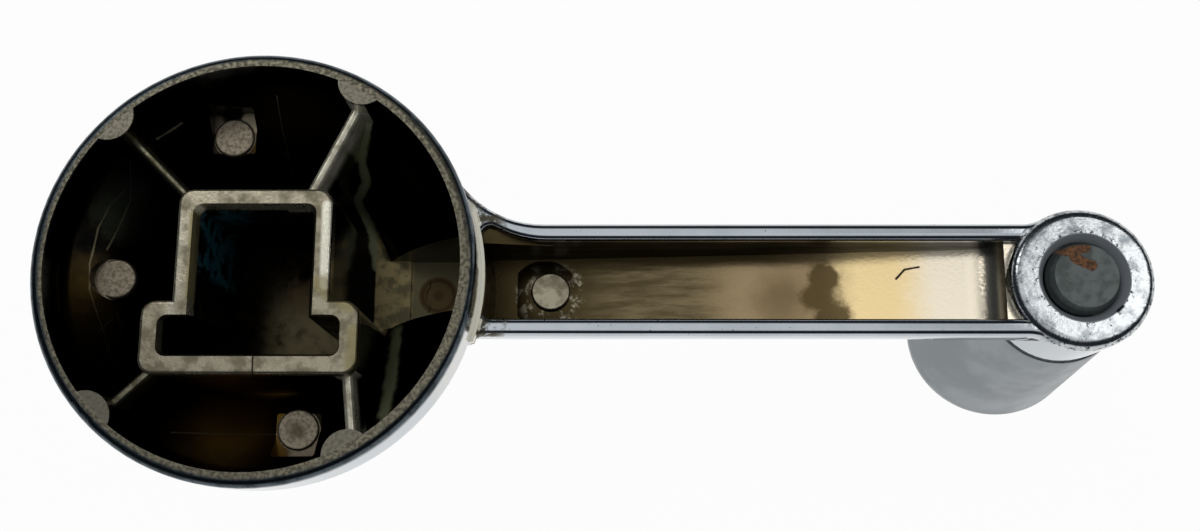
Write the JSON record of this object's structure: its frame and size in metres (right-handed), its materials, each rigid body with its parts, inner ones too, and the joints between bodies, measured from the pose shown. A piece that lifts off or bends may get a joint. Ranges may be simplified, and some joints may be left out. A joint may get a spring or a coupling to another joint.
{
  "type": "crank handle",
  "caption": "Chrome-plated die-cast crank: open bell-shaped hub with a hat-shaped shaft socket, channel arm and a knob that spins on a headed pin.",
  "frame": {"origin": "on the shaft axis, in the plane of the hub's rim, 0.4 mm above the mouth of the shaft socket", "axes": "+Z out of the open back of the hub, towards the shaft it fits on; +X along the arm to the knob axis; the knob points to -Z"},
  "size_m": [0.1389, 0.0526, 0.044],
  "materials": {
    "plated_casting": "worn chrome plating over a zinc die casting",
    "steel_pin": "dull grey steel with a rust patch on the head",
    "plated_knob": "smooth satin chrome"
  },
  "bodies": {
    "crank": {"crank_casting": "plated_casting"},
    "grip": {"knob": "plated_knob", "knob_pin": "steel_pin"}
  },
  "joints": [
    {"name": "knob_spin", "type": "hinge", "parent": "crank", "child": "grip", "pos_m": [0.1, 0, -0.015], "axis": [0, 0, 1], "continuous": true}
  ]
}
